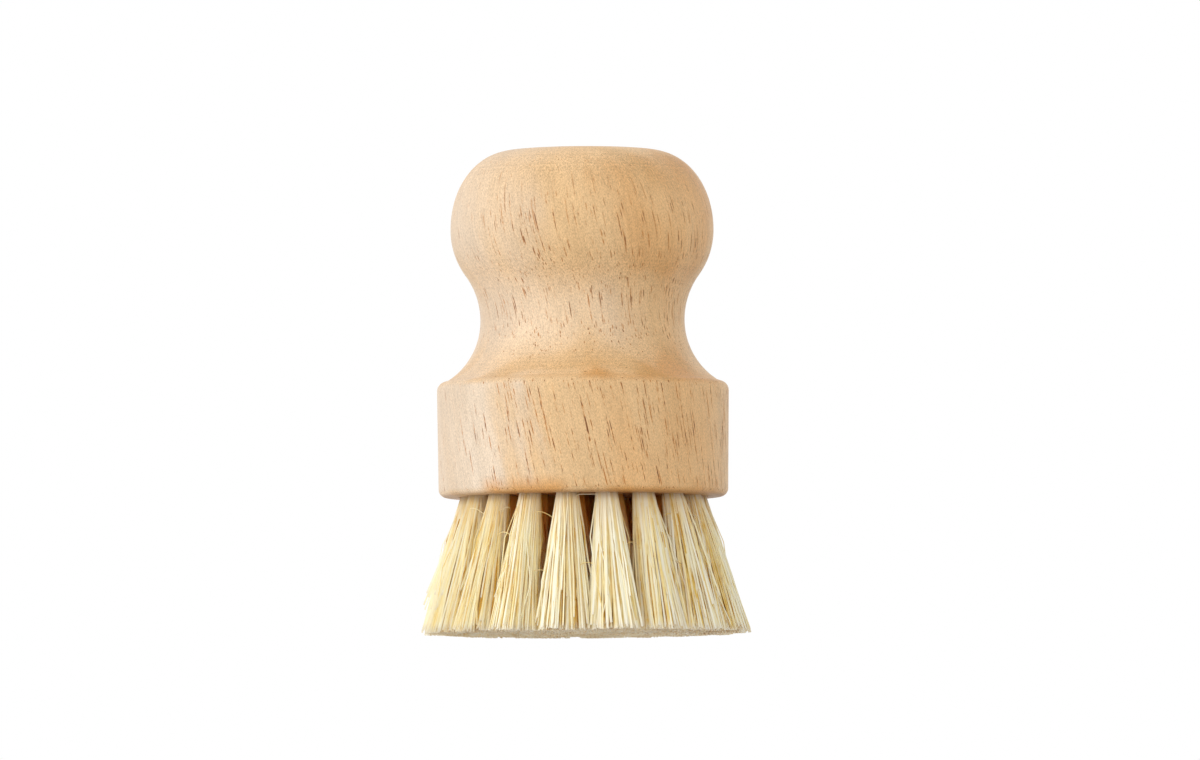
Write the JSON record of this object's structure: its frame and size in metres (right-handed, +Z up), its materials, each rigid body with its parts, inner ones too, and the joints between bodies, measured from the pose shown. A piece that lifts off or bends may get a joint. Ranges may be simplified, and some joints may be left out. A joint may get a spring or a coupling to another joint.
{
  "type": "pan brush",
  "caption": "Palm-held pan brush: turned wooden knob handle on a drum base, with splayed tufts of plant fibre stapled into drilled holes of its flat underside.",
  "frame": {"origin": "on the turning axis, on the surface that the bristle tips stand on", "axes": "+Z up along the turning axis, from the bristle tips to the flat top of the knob; -Y faces the viewer of the picture and +X is the viewer's right"},
  "size_m": [0.0556, 0.0552, 0.0831],
  "materials": {
    "wood": "satin, pale honey, with short dark pores",
    "fibre": "matt cream plant fibre",
    "steel": "drawn wire"
  },
  "bodies": {
    "root": {"handle": "wood", "outer_tufts": "fibre", "middle_tufts": "fibre", "inner_tufts": "fibre", "centre_tufts": "fibre", "staple_outer_01": "steel", "staple_outer_02": "steel", "staple_outer_03": "steel", "staple_outer_04": "steel", "staple_outer_05": "steel", "staple_outer_06": "steel", "staple_outer_07": "steel", "staple_outer_08": "steel", "staple_outer_09": "steel", "staple_outer_10": "steel", "staple_outer_11": "steel", "staple_outer_12": "steel", "staple_outer_13": "steel", "staple_outer_14": "steel", "staple_outer_15": "steel", "staple_outer_16": "steel", "staple_outer_17": "steel", "staple_outer_18": "steel", "staple_middle_01": "steel", "staple_middle_02": "steel", "staple_middle_03": "steel", "staple_middle_04": "steel", "staple_middle_05": "steel", "staple_middle_06": "steel", "staple_middle_07": "steel", "staple_middle_08": "steel", "staple_middle_09": "steel", "staple_middle_10": "steel", "staple_middle_11": "steel", "staple_middle_12": "steel", "staple_inner_01": "steel", "staple_inner_02": "steel", "staple_inner_03": "steel", "staple_inner_04": "steel", "staple_inner_05": "steel", "staple_inner_06": "steel", "staple_centre": "steel"}
  },
  "joints": []
}
